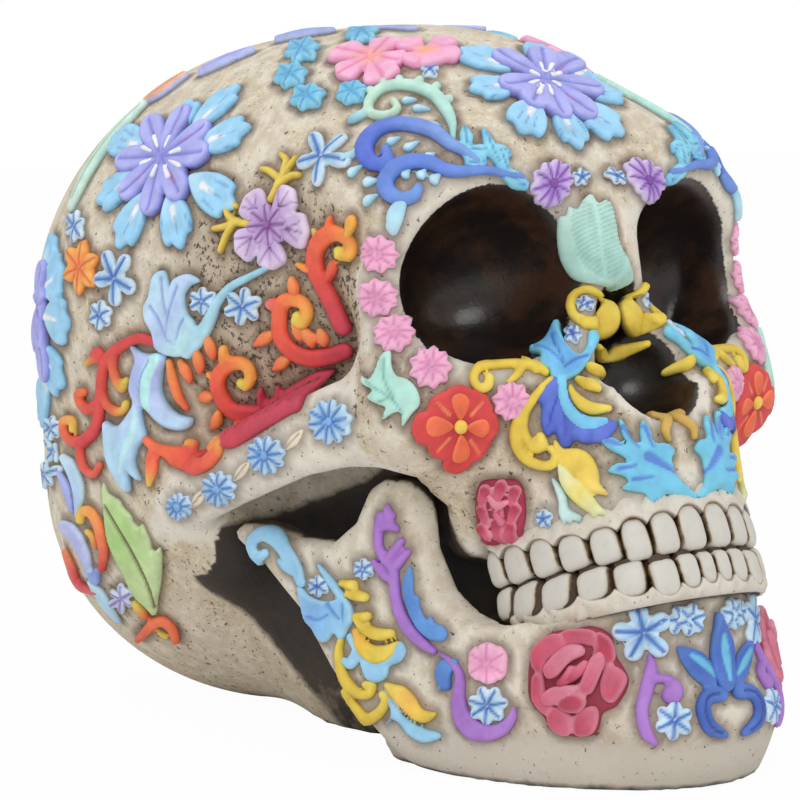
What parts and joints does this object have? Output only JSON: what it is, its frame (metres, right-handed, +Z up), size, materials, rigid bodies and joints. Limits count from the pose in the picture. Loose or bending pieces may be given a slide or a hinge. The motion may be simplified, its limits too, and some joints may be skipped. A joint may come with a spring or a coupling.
{
  "type": "decorative skull",
  "caption": "Cast skull ornament with a closed jaw, open eye sockets and nose, bared teeth and raised painted flowers, leaves and scrolls; stands flat on its base and jaw.",
  "frame": {"origin": "middle of the bounding box's footprint, on the table", "axes": "+Z up, the face looks along -Y, +X is the skull's own left"},
  "size_m": [0.1284, 0.2084, 0.1536],
  "materials": {
    "bone": "matt cast resin with a brown antique wash in its pits",
    "ivory": "satin cast resin with a brown wash between the teeth",
    "lilac": "hand-painted, satin, darker in the creases",
    "sky": "hand-painted, satin, darker in the creases",
    "cyan": "hand-painted, satin, darker in the creases",
    "ink": "hand-painted, satin, darker in the creases",
    "mint": "hand-painted, satin, darker in the creases",
    "mauve": "hand-painted, satin, darker in the creases",
    "violet": "hand-painted, satin, darker in the creases",
    "pink": "hand-painted, satin, darker in the creases",
    "scarlet": "hand-painted, satin, darker in the creases",
    "coral": "hand-painted, satin, darker in the creases",
    "green": "hand-painted, satin, darker in the creases",
    "rose": "hand-painted, satin, darker in the creases"
  },
  "bodies": {
    "root": {"skull_casting": "bone", "jaw_casting": "bone", "upper_teeth": "ivory", "lower_teeth": "ivory", "crown_blossom": "lilac", "bridge_leaf": "mint", "chin_lily": "ink", "right_temple_blossom": "lilac", "left_temple_blossom": "lilac", "right_rear_blossom": "lilac", "left_rear_blossom": "lilac", "right_mauve_flower": "mauve", "left_mauve_flower": "mauve", "right_red_scroll": "coral", "left_red_scroll": "coral", "right_orange_scroll": "coral", "left_orange_scroll": "coral", "right_coral_scroll": "coral", "left_coral_scroll": "coral", "right_red_branch": "scarlet", "left_red_branch": "scarlet", "right_pale_tulip": "sky", "left_pale_tulip": "sky", "right_pale_leaf": "sky", "left_pale_leaf": "sky", "right_mint_scroll": "mint", "left_mint_scroll": "mint", "right_brow_scroll": "ink", "left_brow_scroll": "ink", "right_brow_daisy": "mauve", "left_brow_daisy": "mauve", "right_pink_flower": "pink", "left_pink_flower": "pink", "right_mint_leaf": "mint", "left_mint_leaf": "mint", "right_red_flower": "scarlet", "left_red_flower": "scarlet", "right_face_lily": "ink", "left_face_lily": "ink", "right_cyan_leaf": "cyan", "left_cyan_leaf": "cyan", "right_rosebud": "rose", "left_rosebud": "rose", "right_arch_flower": "sky", "left_arch_flower": "sky", "right_green_leaf": "green", "left_green_leaf": "green", "right_jaw_vine": "violet", "left_jaw_vine": "violet", "right_jaw_leaf": "sky", "left_jaw_leaf": "sky", "right_jaw_crescent": "violet", "left_jaw_crescent": "violet", "right_jaw_rose": "rose", "left_jaw_rose": "rose", "right_jaw_flower": "sky", "left_jaw_flower": "sky"}
  },
  "joints": []
}
